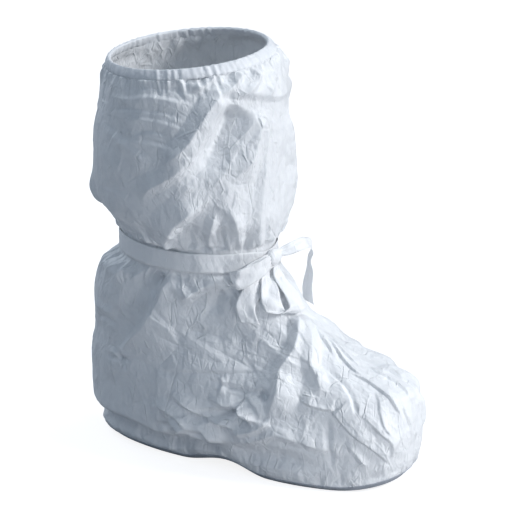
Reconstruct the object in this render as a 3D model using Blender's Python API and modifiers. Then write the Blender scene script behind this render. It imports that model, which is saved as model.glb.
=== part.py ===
"""A knee-high disposable boot cover of crisp white nonwoven fabric, in the form that it has when worn.

Metres, +Z up, +X towards the toe, +Y towards the wearer's left.
The origin is on the floor, under the middle of the cover.
"""

import math
from typing import NamedTuple

import bmesh
import bpy
import numpy as np
from mathutils import Matrix, Vector

MM = 0.001

# Driving sizes
LENGTH = 370 * MM  # heel to toe, over the slack of the fabric
BALL_WIDTH = 138 * MM  # across the ball of the foot
SHAFT_WIDTH = 196 * MM  # across the widest part of the leg
COLLAR_HEIGHT = 422 * MM  # floor to the top edge, on the leg's axis
TIE_HEIGHT = 221 * MM  # floor to the middle of the ankle tie
TIE_WIDTH = 20 * MM
NECK_SPAN = 22 * MM  # the stretch of the upper that the tie draws straight
WALL = 0.5 * MM  # the fabric of the upper
SOLE_THICKNESS = 1.0 * MM  # the coated fabric of the sole
RIBBON_THICKNESS = 0.6 * MM
CLEARANCE = 0.3 * MM  # between pieces that touch

# The sole's profile from the side
ARCH_RISE = 8 * MM
ARCH_BACK, ARCH_FRONT = -0.15 * LENGTH, 0.13 * LENGTH
TOE_SPRING = 15 * MM
SPRING_START = 0.31 * LENGTH
HEEL_BEVEL = 7 * MM
BEVEL_START = -0.41 * LENGTH
LIFT_FADE = 85 * MM  # the height at which the upper no longer follows that profile

# The plan of the foot
WAIST_PINCH = 6 * MM
WAIST_PLACE, WAIST_SPAN = 0.46, 0.16  # shares of the length, from the heel
SPINE = 0.33 * LENGTH  # half the line on which the sole's floor closes
TOE_SWING = 7 * MM  # the toe leans to the inner side of a right foot
SWING_START, SWING_SPAN = 0.1 * LENGTH, 0.4 * LENGTH

LEG_AXIS = -0.2 * LENGTH

# The elastic hem round the collar
HEM_LEVELS = 1.1  # how far down the sections it reaches
HEM_THICKNESS = 1.6 * MM
HEM_GATHERS = 22
GATHER_DEPTH = 0.9 * MM
HEM_RISE = 0.4 * MM  # above the fabric's edge

# The knot of the ankle tie, at the front of the ankle
KNOT_TURN = -4  # degrees from the toe, to the wearer's left
KNOT_WIDTH, KNOT_DEPTH, KNOT_HEIGHT = 18 * MM, 12 * MM, 17 * MM
KNOT_ROUNDING = 4 * MM

# Facets
COLUMNS = 44  # round the foot and leg
LEVEL_STEP = 14 * MM
FACETS_PER_GATHER = 4
EDGE_ROWS = 3  # down the sole's rounded edge
FLOOR_ROWS = 3  # from that edge to the middle of the sole
STRAND_STEPS = 3  # between two rows of a strand's table
ROUNDING_STEPS = 3

COLLECTION = "boot_cover"
FABRIC_WHITE = (0.86, 0.88, 0.92)
HEM_WHITE = (0.82, 0.85, 0.90)
TIE_WHITE = (0.92, 0.94, 0.97)
SOLE_GREY = (0.55, 0.58, 0.63)


class Section(NamedTuple):
    """One ring of the upper."""

    height: float  # above the floor, on the leg's axis
    back: float  # share of LENGTH
    front: float  # share of LENGTH
    rear: float  # half width at the back, a share of the zone's width
    fore: float  # half width at the front, a share of the zone's width
    square: float  # 2 is an ellipse, more is a squarer outline
    lean: float  # rise of the ring towards the front


NECK_LOW = TIE_HEIGHT - NECK_SPAN / 2
NECK_HIGH = TIE_HEIGHT + NECK_SPAN / 2

# Heights are shares of the way from the floor to the tie, and widths are shares of BALL_WIDTH.
FOOT_SECTIONS = (
    Section(height=0.000, back=-0.440, front=0.458, rear=0.350, fore=0.410, square=2.5, lean=0.00),
    Section(height=0.037, back=-0.463, front=0.480, rear=0.405, fore=0.465, square=2.5, lean=0.00),
    Section(height=0.117, back=-0.487, front=0.495, rear=0.440, fore=0.500, square=2.5, lean=0.00),
    Section(height=0.257, back=-0.500, front=0.500, rear=0.470, fore=0.505, square=2.5, lean=0.00),
    Section(height=0.383, back=-0.500, front=0.499, rear=0.490, fore=0.480, square=2.5, lean=0.00),
    Section(height=0.468, back=-0.497, front=0.491, rear=0.503, fore=0.440, square=2.4, lean=0.00),
    Section(height=0.529, back=-0.492, front=0.448, rear=0.510, fore=0.390, square=2.2, lean=0.00),
    Section(height=0.590, back=-0.489, front=0.350, rear=0.517, fore=0.355, square=2.1, lean=0.00),
    Section(height=0.670, back=-0.486, front=0.262, rear=0.525, fore=0.345, square=2.1, lean=0.00),
    Section(height=0.772, back=-0.481, front=0.172, rear=0.525, fore=0.357, square=2.1, lean=0.00),
    Section(height=0.903, back=-0.460, front=0.110, rear=0.510, fore=0.400, square=2.05, lean=0.00),
    Section(height=1.000, back=-0.398, front=0.058, rear=0.469, fore=0.455, square=2.0, lean=0.00),
)
# Heights are shares of the way from the tie to the collar, and widths are shares of SHAFT_WIDTH.
SHAFT_SECTIONS = (
    Section(height=0.000, back=-0.398, front=0.058, rear=0.330, fore=0.320, square=2.0, lean=0.00),
    Section(height=0.050, back=-0.416, front=0.063, rear=0.354, fore=0.345, square=2.0, lean=0.00),
    Section(height=0.120, back=-0.443, front=0.073, rear=0.403, fore=0.393, square=2.0, lean=0.00),
    Section(height=0.200, back=-0.459, front=0.081, rear=0.458, fore=0.450, square=2.0, lean=0.00),
    Section(height=0.360, back=-0.463, front=0.082, rear=0.490, fore=0.490, square=2.0, lean=0.00),
    Section(height=0.545, back=-0.460, front=0.081, rear=0.500, fore=0.500, square=2.0, lean=0.03),
    Section(height=0.737, back=-0.447, front=0.074, rear=0.487, fore=0.487, square=2.0, lean=0.08),
    Section(height=0.861, back=-0.434, front=0.062, rear=0.468, fore=0.468, square=2.0, lean=0.11),
    Section(height=0.960, back=-0.418, front=0.036, rear=0.428, fore=0.428, square=2.0, lean=0.11),
    Section(height=1.000, back=-0.411, front=0.014, rear=0.403, fore=0.403, square=2.0, lean=0.11),
)


def scaled(section, low, high, width):
    """A section in metres, with its height between low and high."""
    return Section(
        height=low + section.height * (high - low),
        back=section.back * LENGTH,
        front=section.front * LENGTH,
        rear=section.rear * width,
        fore=section.fore * width,
        square=section.square,
        lean=section.lean,
    )


RINGS = np.array(
    [scaled(s, 0, NECK_LOW, BALL_WIDTH) for s in FOOT_SECTIONS]
    + [scaled(s, NECK_HIGH, COLLAR_HEIGHT, SHAFT_WIDTH) for s in SHAFT_SECTIONS]
)
RIM_LEVEL = 0.85  # where the upper is sewn to the sole
SEAM_LEVELS = 0.04  # the sole's clearance there
NECK_LEVELS = (len(FOOT_SECTIONS) - 1, len(FOOT_SECTIONS))
TOP_LEVEL = len(RINGS) - 1


def smooth(share):
    """A soft step from 0 to 1."""
    t = np.clip(share, 0, 1)
    return t * t * (3 - 2 * t)


def easy_slope(before, after):
    """The slope where two steps of a curve meet: level at a turning point, so that it never overshoots."""
    same_way = before * after > 0
    return np.where(same_way, 2 * before * after / np.where(same_way, before + after, 1), 0)


def through(rows, place):
    """The row of a table at a place that counts along it, on a smooth curve through all of its rows."""
    i = min(int(place), len(rows) - 2)
    t = place - i
    before, low, high, after = rows[max(i - 1, 0)], rows[i], rows[i + 1], rows[min(i + 2, len(rows) - 1)]
    rise = high - low
    leave = easy_slope(low - before, rise)
    arrive = easy_slope(rise, after - high)
    return low + rise * smooth(t) + leave * t * (1 - t) ** 2 - arrive * t**2 * (1 - t)


def sole_profile(x):
    """The height of the sole's underside over the floor, with flat spots under the heel and the ball."""
    arch = np.clip((x - ARCH_BACK) / (ARCH_FRONT - ARCH_BACK), 0, 1)
    spring = max(x - SPRING_START, 0) / (LENGTH / 2 - SPRING_START)
    bevel = max(BEVEL_START - x, 0) / (BEVEL_START + LENGTH / 2)
    return ARCH_RISE * math.sin(math.pi * arch) ** 2 + TOE_SPRING * spring**2 + HEEL_BEVEL * bevel**2


def upper_point(level, turn):
    """A point of the upper's outer face. Turn is in radians from the toe, to the wearer's left."""
    ring = Section(*through(RINGS, level))
    along = math.copysign(abs(math.cos(turn)) ** (2 / ring.square), math.cos(turn))
    across = math.copysign(abs(math.sin(turn)) ** (2 / ring.square), math.sin(turn))
    share = (along + 1) / 2
    low = 1 - smooth(ring.height / LIFT_FADE)
    pinch = WAIST_PINCH * low * math.exp(-(((share - WAIST_PLACE) / WAIST_SPAN) ** 2))
    width = ring.rear + (ring.fore - ring.rear) * smooth(share) - pinch
    x = (ring.back + ring.front) / 2 + (ring.front - ring.back) / 2 * along
    toe = smooth((x - SWING_START) / SWING_SPAN)
    y = width * across + TOE_SWING * toe
    return Vector((x, y, ring.height + ring.lean * (x - LEG_AXIS) + sole_profile(x) * low))


def upper_normal(level, turn):
    """The outward direction of the upper's face."""
    step = 1e-3
    inside = min(max(level, step), TOP_LEVEL - step)
    rise = upper_point(inside + step, turn) - upper_point(inside - step, turn)
    round_it = upper_point(inside, turn + step) - upper_point(inside, turn - step)
    return round_it.cross(rise).normalized()


def level_at(height, turn):
    """The level at which the upper's face has that height."""
    low, high = 0.0, TOP_LEVEL
    while high - low > 1e-5:
        middle = (low + high) / 2
        if upper_point(middle, turn).z < height:
            low = middle
        else:
            high = middle
    return low


def over_upper(level, turn, standoff):
    """A point that stands off the upper's face."""
    return upper_point(level, turn) + upper_normal(level, turn) * standoff


def upper_levels():
    """Levels about LEVEL_STEP apart from the sole's seam to the collar, with one at every section."""
    stops = [RIM_LEVEL, *range(1, TOP_LEVEL + 1)]
    levels = [RIM_LEVEL]
    for low, high in zip(stops, stops[1:]):
        sides = [(upper_point(high, t) - upper_point(low, t)).length for t in (0, math.pi / 2, math.pi)]
        steps = max(1, round(max(sides) / LEVEL_STEP))
        levels += [low + (high - low) * (k + 1) / steps for k in range(steps)]
    return levels


class Lie(NamedTuple):
    """One row of a ribbon strand's table: where its middle lies over the upper, and how wide it is there."""

    turn: float  # degrees from the toe, to the wearer's left
    drop: float  # below the middle of the knot
    standoff: float  # level distance out from the upper's face
    width: float
    slant: float  # degrees of the ribbon's cross line, from level towards upright


# Out of the knot to the outer side, round a fold and back underneath
SIDE_LOOP = (
    Lie(turn=-11.5, drop=0 * MM, standoff=11 * MM, width=11 * MM, slant=95),
    Lie(turn=-19, drop=3 * MM, standoff=14 * MM, width=16 * MM, slant=103),
    Lie(turn=-29, drop=8 * MM, standoff=15 * MM, width=20 * MM, slant=108),
    Lie(turn=-39, drop=13 * MM, standoff=14 * MM, width=20 * MM, slant=112),
    Lie(turn=-43, drop=15 * MM, standoff=11.5 * MM, width=20 * MM, slant=112),
    Lie(turn=-39, drop=16 * MM, standoff=9 * MM, width=20 * MM, slant=112),
    Lie(turn=-29, drop=11 * MM, standoff=8 * MM, width=19 * MM, slant=108),
    Lie(turn=-19, drop=5 * MM, standoff=7 * MM, width=15 * MM, slant=103),
    Lie(turn=-11.7, drop=1 * MM, standoff=6.5 * MM, width=11 * MM, slant=95),
)
# Out of the knot down over the instep, round a fold and back beside itself
FRONT_LOOP = (
    Lie(turn=-4, drop=9.5 * MM, standoff=10 * MM, width=11 * MM, slant=0),
    Lie(turn=-6, drop=20 * MM, standoff=12 * MM, width=16 * MM, slant=-6),
    Lie(turn=-8, drop=33 * MM, standoff=13 * MM, width=20 * MM, slant=-10),
    Lie(turn=-10, drop=44 * MM, standoff=13 * MM, width=20 * MM, slant=-10),
    Lie(turn=-18, drop=48 * MM, standoff=10 * MM, width=20 * MM, slant=-5),
    Lie(turn=-28, drop=47 * MM, standoff=8 * MM, width=20 * MM, slant=0),
    Lie(turn=-26, drop=35 * MM, standoff=8 * MM, width=20 * MM, slant=0),
    Lie(turn=-18, drop=22 * MM, standoff=7 * MM, width=16 * MM, slant=0),
    Lie(turn=-8, drop=9.5 * MM, standoff=6 * MM, width=11 * MM, slant=0),
)
# Behind the side loop and down to a cut end
SIDE_END = (
    Lie(turn=-14, drop=12 * MM, standoff=3 * MM, width=11 * MM, slant=-30),
    Lie(turn=-25, drop=20 * MM, standoff=3 * MM, width=16 * MM, slant=-35),
    Lie(turn=-38, drop=31 * MM, standoff=3.5 * MM, width=20 * MM, slant=-25),
    Lie(turn=-47, drop=44 * MM, standoff=4.5 * MM, width=20 * MM, slant=-10),
    Lie(turn=-50, drop=59 * MM, standoff=5 * MM, width=20 * MM, slant=-5),
)
# Up and out to the inner side, then down to the instep
INNER_END = (
    Lie(turn=4.5, drop=-1 * MM, standoff=8 * MM, width=10 * MM, slant=70),
    Lie(turn=9, drop=-4 * MM, standoff=16 * MM, width=14 * MM, slant=55),
    Lie(turn=16, drop=-6 * MM, standoff=25 * MM, width=18 * MM, slant=35),
    Lie(turn=23, drop=-2 * MM, standoff=32 * MM, width=20 * MM, slant=10),
    Lie(turn=27, drop=6 * MM, standoff=35 * MM, width=20 * MM, slant=0),
    Lie(turn=30, drop=22 * MM, standoff=29 * MM, width=20 * MM, slant=0),
    Lie(turn=33, drop=40 * MM, standoff=19 * MM, width=20 * MM, slant=0),
    Lie(turn=36, drop=60 * MM, standoff=8 * MM, width=20 * MM, slant=0),
)


def fabric(name, colour, roughness):
    """A matte nonwoven material."""
    material = bpy.data.materials.new(name)
    material.use_nodes = True
    shader = material.node_tree.nodes["Principled BSDF"]
    shader.inputs["Base Color"].default_value = (*colour, 1)
    shader.inputs["Roughness"].default_value = roughness
    shader.inputs["Metallic"].default_value = 0
    return material


def named_part(name, build, material):
    """An object of the cover, made of a bmesh that this frees."""
    mesh = bpy.data.meshes.new(name)
    build.to_mesh(mesh)
    build.free()
    mesh.materials.append(material)
    mesh.shade_smooth()
    part = bpy.data.objects.new(name, mesh)
    bpy.data.collections[COLLECTION].objects.link(part)
    return part


def sheet(name, place, rows, columns, material, thickness, outward):
    """A thick sheet: a grid with its points where place(row, column) says. Outward is 1 outside that face, or -1."""
    build = bmesh.new()
    bmesh.ops.create_grid(build, x_segments=rows, y_segments=columns, size=0.5)
    for vertex in build.verts:
        row = round((vertex.co.x + 0.5) * rows)
        column = round((vertex.co.y + 0.5) * columns)
        vertex.co = place(row, column)
    bmesh.ops.remove_doubles(build, verts=build.verts, dist=0.01 * MM)
    bmesh.ops.reverse_faces(build, faces=build.faces)
    part = named_part(name, build, material)
    solid = part.modifiers.new("Thickness", "SOLIDIFY")
    solid.thickness = thickness
    solid.offset = outward
    solid.use_even_offset = True
    solid.use_quality_normals = True
    return part


def turn_of(column, columns):
    """Columns run once round the leg from the toe."""
    return 2 * math.pi * (column % columns) / columns


def make_upper(material):
    """Leg and foot in one wall of fabric, open at the collar and underneath."""
    levels = upper_levels()

    def place(row, column):
        return upper_point(levels[row], turn_of(column, COLUMNS))

    sheet("upper", place, len(levels) - 1, COLUMNS, material, WALL, -1)


def make_sole(material):
    """A tray under the upper: its edge goes on where the upper stops, and its floor closes on a middle line."""
    rim = RIM_LEVEL - SEAM_LEVELS

    def place(row, column):
        turn = turn_of(column, COLUMNS)
        if row >= FLOOR_ROWS:
            return upper_point(rim * (row - FLOOR_ROWS) / EDGE_ROWS, turn)
        edge = upper_point(0, turn)
        middle = Vector((min(max(edge.x, -SPINE), SPINE), 0, 0))
        point = middle + (edge - middle) * row / FLOOR_ROWS
        point.z = sole_profile(point.x)
        return point

    sheet("sole", place, FLOOR_ROWS + EDGE_ROWS, COLUMNS, material, SOLE_THICKNESS, -1)


def make_collar_hem(material):
    """Elastic in a gathered hem outside the top edge."""
    columns = HEM_GATHERS * FACETS_PER_GATHER
    rows = 3

    def place(row, column):
        turn = turn_of(column, columns)
        puff = math.sin(math.pi * row / rows) * (1 + math.cos(HEM_GATHERS * turn)) / 2
        level = TOP_LEVEL - HEM_LEVELS * (1 - row / rows)
        point = over_upper(level, turn, CLEARANCE + GATHER_DEPTH * puff)
        point.z += HEM_RISE * (row == rows)
        return point

    sheet("collar_hem", place, rows, columns, material, HEM_THICKNESS, 1)


def make_tie_band(material):
    """Ribbon drawn round the ankle, in the neck that it makes there."""
    low, high = NECK_LEVELS
    margin = (1 - TIE_WIDTH / NECK_SPAN) / 2

    def place(row, column):
        level = low + margin + (high - low - 2 * margin) * row
        return over_upper(level, turn_of(column, COLUMNS), CLEARANCE)

    sheet("tie_band", place, 1, COLUMNS, material, RIBBON_THICKNESS, 1)


def make_tie_knot(material):
    """The knot, on the band."""
    turn = math.radians(KNOT_TURN)
    level = sum(NECK_LEVELS) / 2
    normal = upper_normal(level, turn)
    seat = 2 * CLEARANCE + RIBBON_THICKNESS
    side = Vector((0, 0, 1)).cross(normal).normalized()
    build = bmesh.new()
    bmesh.ops.create_cube(build, size=1)
    bmesh.ops.scale(build, verts=build.verts, vec=(KNOT_DEPTH, KNOT_WIDTH, KNOT_HEIGHT))
    knot = named_part("tie_knot", build, material)
    knot.matrix_world = Matrix((normal, side, normal.cross(side))).transposed().to_4x4()
    knot.location = over_upper(level, turn, seat + KNOT_DEPTH / 2)
    rounding = knot.modifiers.new("Rounding", "BEVEL")
    rounding.width = KNOT_ROUNDING
    rounding.segments = ROUNDING_STEPS


def make_strand(name, table, material):
    """A flat ribbon along a strand's table."""
    lies = np.array(table)
    knot_height = upper_point(sum(NECK_LEVELS) / 2, math.radians(KNOT_TURN)).z
    rows = STRAND_STEPS * (len(table) - 1)
    columns = 2

    def place(row, column):
        lie = Lie(*through(lies, row / STRAND_STEPS))
        turn = math.radians(lie.turn)
        level = level_at(knot_height - lie.drop, turn)
        normal = upper_normal(level, turn)
        level_line = Vector((0, 0, 1)).cross(normal).normalized()
        out = level_line.cross(Vector((0, 0, 1)))
        slant = math.radians(lie.slant)
        cross_line = level_line * math.cos(slant) + normal.cross(level_line) * math.sin(slant)
        middle = upper_point(level, turn) + out * lie.standoff
        return middle + cross_line * lie.width * (column / columns - 0.5)

    sheet(name, place, rows, columns, material, RIBBON_THICKNESS, 0)


def main():
    for old in list(bpy.data.objects):
        bpy.data.objects.remove(old)
    cover = bpy.data.collections.new(COLLECTION)
    bpy.context.scene.collection.children.link(cover)
    make_upper(fabric("upper_fabric", FABRIC_WHITE, 0.6))
    make_sole(fabric("sole_fabric", SOLE_GREY, 0.7))
    make_collar_hem(fabric("hem_fabric", HEM_WHITE, 0.65))
    ribbon = fabric("tie_ribbon", TIE_WHITE, 0.55)
    make_tie_band(ribbon)
    make_tie_knot(ribbon)
    make_strand("bow_loop_side", SIDE_LOOP, ribbon)
    make_strand("bow_loop_front", FRONT_LOOP, ribbon)
    make_strand("bow_end_side", SIDE_END, ribbon)
    make_strand("bow_end_inner", INNER_END, ribbon)


main()
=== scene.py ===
import math
from typing import NamedTuple

import bmesh
import bpy
import numpy as np
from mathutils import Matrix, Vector
from mathutils.geometry import delaunay_2d_cdt


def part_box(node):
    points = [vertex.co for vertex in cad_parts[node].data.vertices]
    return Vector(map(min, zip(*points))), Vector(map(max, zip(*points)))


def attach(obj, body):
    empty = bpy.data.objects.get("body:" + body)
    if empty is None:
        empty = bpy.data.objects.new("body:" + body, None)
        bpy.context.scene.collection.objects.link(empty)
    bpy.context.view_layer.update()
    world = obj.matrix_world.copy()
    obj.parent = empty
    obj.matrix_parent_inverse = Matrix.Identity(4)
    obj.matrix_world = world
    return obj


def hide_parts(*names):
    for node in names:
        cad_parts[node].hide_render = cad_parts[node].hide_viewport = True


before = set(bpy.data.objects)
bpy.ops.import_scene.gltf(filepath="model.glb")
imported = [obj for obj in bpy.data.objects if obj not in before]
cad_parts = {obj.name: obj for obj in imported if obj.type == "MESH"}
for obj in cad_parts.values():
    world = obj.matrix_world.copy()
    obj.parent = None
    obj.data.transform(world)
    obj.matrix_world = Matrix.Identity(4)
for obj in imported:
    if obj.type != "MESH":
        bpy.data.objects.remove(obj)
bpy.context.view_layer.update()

# Upper
# Leg and foot in one hollow wall of crisp white spun-bonded nonwoven, cut wide so that it goes over a boot.
# Elastic gathers it at the collar and the tie at the ankle, and it keeps every crease of packing and wear.
MM = 0.001
upper_low, upper_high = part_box("upper")
LENGTH = upper_high.x - upper_low.x
SHAFT_WIDTH = upper_high.y - upper_low.y
BALL_WIDTH = 138 * MM
COLLAR_HEIGHT = 422 * MM  # on the leg's axis
LEG_AXIS = -0.2 * LENGTH
NECK_LOW, NECK_HIGH = 210 * MM, 232 * MM  # the stretch that the tie draws straight
ARCH_RISE, ARCH_BACK, ARCH_FRONT = 8 * MM, -0.15 * LENGTH, 0.13 * LENGTH
TOE_SPRING, SPRING_START = 15 * MM, 0.31 * LENGTH
HEEL_BEVEL, BEVEL_START = 7 * MM, -0.41 * LENGTH
LIFT_FADE = 85 * MM  # above this the upper no longer follows the sole's profile
WAIST_PINCH, WAIST_PLACE, WAIST_SPAN = 6 * MM, 0.46, 0.16
TOE_SWING, SWING_START, SWING_SPAN = 7 * MM, 0.1 * LENGTH, 0.4 * LENGTH
UPPER_WALL = 0.8 * MM


class Section(NamedTuple):
    """One ring of the upper, in shares of its zone's height, of the length and of the zone's width."""

    height: float
    back: float
    front: float
    rear: float  # half width at the back
    fore: float  # half width at the front
    square: float  # 2 is an ellipse, more is a squarer outline
    lean: float  # rise of the ring towards the front


FOOT_SECTIONS = (
    Section(0.000, -0.440, 0.458, 0.350, 0.410, 2.5, 0.00),
    Section(0.037, -0.463, 0.480, 0.405, 0.465, 2.5, 0.00),
    Section(0.117, -0.487, 0.495, 0.440, 0.500, 2.5, 0.00),
    Section(0.257, -0.500, 0.500, 0.470, 0.505, 2.5, 0.00),
    Section(0.383, -0.500, 0.499, 0.490, 0.480, 2.5, 0.00),
    Section(0.468, -0.497, 0.491, 0.503, 0.440, 2.4, 0.00),
    Section(0.529, -0.492, 0.448, 0.510, 0.390, 2.2, 0.00),
    Section(0.590, -0.489, 0.350, 0.517, 0.355, 2.1, 0.00),
    Section(0.670, -0.486, 0.262, 0.525, 0.345, 2.1, 0.00),
    Section(0.772, -0.481, 0.172, 0.525, 0.357, 2.1, 0.00),
    Section(0.903, -0.460, 0.110, 0.510, 0.400, 2.05, 0.00),
    Section(1.000, -0.398, 0.058, 0.469, 0.455, 2.0, 0.00),
)
SHAFT_SECTIONS = (
    Section(0.000, -0.398, 0.058, 0.330, 0.320, 2.0, 0.00),
    Section(0.050, -0.416, 0.063, 0.354, 0.345, 2.0, 0.00),
    Section(0.120, -0.443, 0.073, 0.403, 0.393, 2.0, 0.00),
    Section(0.200, -0.459, 0.081, 0.458, 0.450, 2.0, 0.00),
    Section(0.360, -0.463, 0.082, 0.490, 0.490, 2.0, 0.00),
    Section(0.545, -0.460, 0.081, 0.500, 0.500, 2.0, 0.03),
    Section(0.737, -0.447, 0.074, 0.487, 0.487, 2.0, 0.08),
    Section(0.861, -0.434, 0.062, 0.468, 0.468, 2.0, 0.11),
    Section(0.960, -0.418, 0.036, 0.428, 0.428, 2.0, 0.11),
    Section(1.000, -0.411, 0.014, 0.403, 0.403, 2.0, 0.11),
)


def scaled(section, low, high, width):
    """A section in metres, with its height between low and high."""
    return (
        low + section.height * (high - low),
        section.back * LENGTH,
        section.front * LENGTH,
        section.rear * width,
        section.fore * width,
        section.square,
        section.lean,
    )


RINGS = np.array(
    [scaled(s, 0, NECK_LOW, BALL_WIDTH) for s in FOOT_SECTIONS]
    + [scaled(s, NECK_HIGH, COLLAR_HEIGHT, SHAFT_WIDTH) for s in SHAFT_SECTIONS]
)
RIM_LEVEL = 0.85  # the seam to the sole
NECK_LEVEL = len(FOOT_SECTIONS) - 0.5
TOP_LEVEL = len(RINGS) - 1


def smooth(share):
    """A soft step from 0 to 1."""
    t = np.clip(share, 0, 1)
    return t * t * (3 - 2 * t)


def easy_slope(before, after):
    """The slope where two steps of a curve meet, level at a turning point."""
    same_way = before * after > 0
    return np.where(same_way, 2 * before * after / np.where(same_way, before + after, 1), 0)


def through(rows, places):
    """Rows of a table at places that count along it, on smooth curves through its own rows."""
    places = np.asarray(places, float)
    i = np.clip(places.astype(int), 0, len(rows) - 2)
    t = (places - i)[..., None]
    before, low = rows[np.maximum(i - 1, 0)], rows[i]
    high, after = rows[i + 1], rows[np.minimum(i + 2, len(rows) - 1)]
    rise = high - low
    leave = easy_slope(low - before, rise)
    arrive = easy_slope(rise, after - high)
    return low + rise * smooth(t) + leave * t * (1 - t) ** 2 - arrive * t**2 * (1 - t)


def sole_profile(x):
    """The height of the sole's underside, with flat spots under the heel and the ball."""
    arch = np.clip((x - ARCH_BACK) / (ARCH_FRONT - ARCH_BACK), 0, 1)
    spring = np.maximum(x - SPRING_START, 0) / (LENGTH / 2 - SPRING_START)
    bevel = np.maximum(BEVEL_START - x, 0) / (BEVEL_START + LENGTH / 2)
    return ARCH_RISE * np.sin(np.pi * arch) ** 2 + TOE_SPRING * spring**2 + HEEL_BEVEL * bevel**2


def upper_face(level, turn):
    """Points of the smooth outer face. Turn is in radians from the toe, to the wearer's left."""
    level, turn = np.broadcast_arrays(np.asarray(level, float), turn)
    height, back, front, rear, fore, square, lean = np.moveaxis(through(RINGS, level), -1, 0)
    along = np.sign(np.cos(turn)) * np.abs(np.cos(turn)) ** (2 / square)
    across = np.sign(np.sin(turn)) * np.abs(np.sin(turn)) ** (2 / square)
    share = (along + 1) / 2
    low = 1 - smooth(height / LIFT_FADE)
    pinch = WAIST_PINCH * low * np.exp(-(((share - WAIST_PLACE) / WAIST_SPAN) ** 2))
    width = rear + (fore - rear) * smooth(share) - pinch
    x = (back + front) / 2 + (front - back) / 2 * along
    y = width * across + TOE_SWING * smooth((x - SWING_START) / SWING_SPAN)
    return np.stack([x, y, height + lean * (x - LEG_AXIS) + sole_profile(x) * low], -1)


def upper_normal(level, turn):
    """The outward direction of that face."""
    step = 1e-3
    level = np.clip(level, step, TOP_LEVEL - step)
    rise = upper_face(level + step, turn) - upper_face(level - step, turn)
    round_it = upper_face(level, turn + step) - upper_face(level, turn - step)
    normal = np.cross(round_it, rise)
    return normal / np.linalg.norm(normal, axis=-1, keepdims=True)


HALVINGS = 24  # of a search for a level


def level_at(height, turn):
    """The levels at which that face has these heights."""
    low = np.zeros(np.broadcast(height, turn).shape)
    high = low + TOP_LEVEL
    for _ in range(HALVINGS):
        middle = (low + high) / 2
        under = upper_face(middle, turn)[..., 2] < height
        low, high = np.where(under, middle, low), np.where(under, high, middle)
    return low


RULER_LEVELS, RULER_TURNS = 3000, 1441  # fine steps along which lengths are measured


def even_levels(low, high, rows):
    """Levels of rows that lie evenly along the longest way up from low to high, over the instep."""
    fine = np.linspace(low, high, RULER_LEVELS)
    ways_up = upper_face(fine[:, None], np.radians([0, 90, 180]))
    steps = np.linalg.norm(np.diff(ways_up, axis=0), axis=-1).max(axis=1)
    travelled = np.concatenate([[0], np.cumsum(steps)])
    return np.interp(np.linspace(0, travelled[-1], rows), travelled, fine)


def even_turns(levels, columns):
    """Turns of columns that lie evenly round each level, from the toe."""
    fine = np.linspace(0, 2 * np.pi, RULER_TURNS)
    rings = upper_face(np.asarray(levels)[:, None], fine)
    steps = np.linalg.norm(np.diff(rings, axis=1), axis=-1)
    travelled = np.concatenate([np.zeros((len(rings), 1)), np.cumsum(steps, axis=1)], axis=1)
    shares = np.arange(columns) / columns
    return np.array([np.interp(shares * t[-1], t, fine) for t in travelled])


class Zone:
    """A stretch of the upper between two levels, as a fine grid of points that closes round the leg."""

    def __init__(self, name, low, high, rows, columns):
        self.name = name
        self.rows, self.columns = rows, columns
        self.levels = even_levels(low, high, rows)[:, None]
        self.turns = even_turns(self.levels[:, 0], columns)
        self.face = upper_face(self.levels, self.turns)
        self.outward = upper_normal(self.levels, self.turns)
        self.relief = np.zeros((rows, columns))
        self.cell = np.linalg.norm(self.face[1:] - self.face[:-1], axis=-1).mean() / MM


NECK_OVERLAP = 0.2  # levels that both zones share, under the tie
foot = Zone("foot", RIM_LEVEL, NECK_LEVEL + NECK_OVERLAP, rows=250, columns=790)
leg = Zone("leg", NECK_LEVEL - NECK_OVERLAP, TOP_LEVEL, rows=220, columns=600)
zones = (foot, leg)


class Fold(NamedTuple):
    """A crease on the upper: turns in degrees, and heights and sizes in millimetres."""

    path: tuple  # (turn, height) stations
    rise: float  # a ridge, or below 0 a trough
    left: float  # reach of its flank on the left of the path, seen from outside
    right: float
    crest: float = 1.2  # radius of its edge
    start: float = 0.3  # share of its length over which it comes up
    end: float = 0.3


FOLD_STEPS = 5  # between two stations
FLANK = 1.15  # power of a flank's curve, which is steep at the edge and runs out flat
AT_ONCE = 1e-6  # share of the length, in place of 0


def fold_line(path):
    """Points of a fold's edge on the smooth face."""
    stations = np.array(path, float)
    places = np.linspace(0, len(path) - 1, FOLD_STEPS * (len(path) - 1) + 1)
    turn, height = through(stations, places).T
    turn = np.radians(turn)
    return upper_face(level_at(height * MM, turn), turn)


def press_fold(zone, fold, line):
    """Adds one fold to the relief of a zone, along a line of points."""
    reach = max(fold.left, fold.right) * MM
    near = np.all((zone.face > line.min(0) - reach) & (zone.face < line.max(0) + reach), axis=-1)
    points, normals = zone.face[near], zone.outward[near]
    nearest = np.full(len(points), np.inf)
    share = np.zeros(len(points))
    on_left = np.zeros(len(points), bool)
    lengths = np.linalg.norm(np.diff(line, axis=0), axis=1)
    before = np.concatenate([[0], np.cumsum(lengths)])
    for i, length in enumerate(lengths):
        ahead = (line[i + 1] - line[i]) / length
        along = np.clip((points - line[i]) @ ahead, 0, length)
        off = points - line[i] - along[:, None] * ahead
        distance = np.linalg.norm(off, axis=1)
        closer = distance < nearest
        nearest = np.where(closer, distance, nearest)
        share = np.where(closer, (before[i] + along) / before[-1], share)
        on_left = np.where(closer, np.sum(off * np.cross(normals, ahead), axis=1) > 0, on_left)
    width = np.where(on_left, fold.left, fold.right) * MM
    crest = fold.crest * MM / width
    fall = (np.sqrt((nearest / width) ** 2 + crest**2) - crest) / (np.sqrt(1 + crest**2) - crest)
    swell = smooth(share / max(fold.start, AT_ONCE)) * smooth((1 - share) / max(fold.end, AT_ONCE))
    zone.relief[near] += fold.rise * MM * swell * np.clip(1 - fall, 0, 1) ** FLANK


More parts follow.
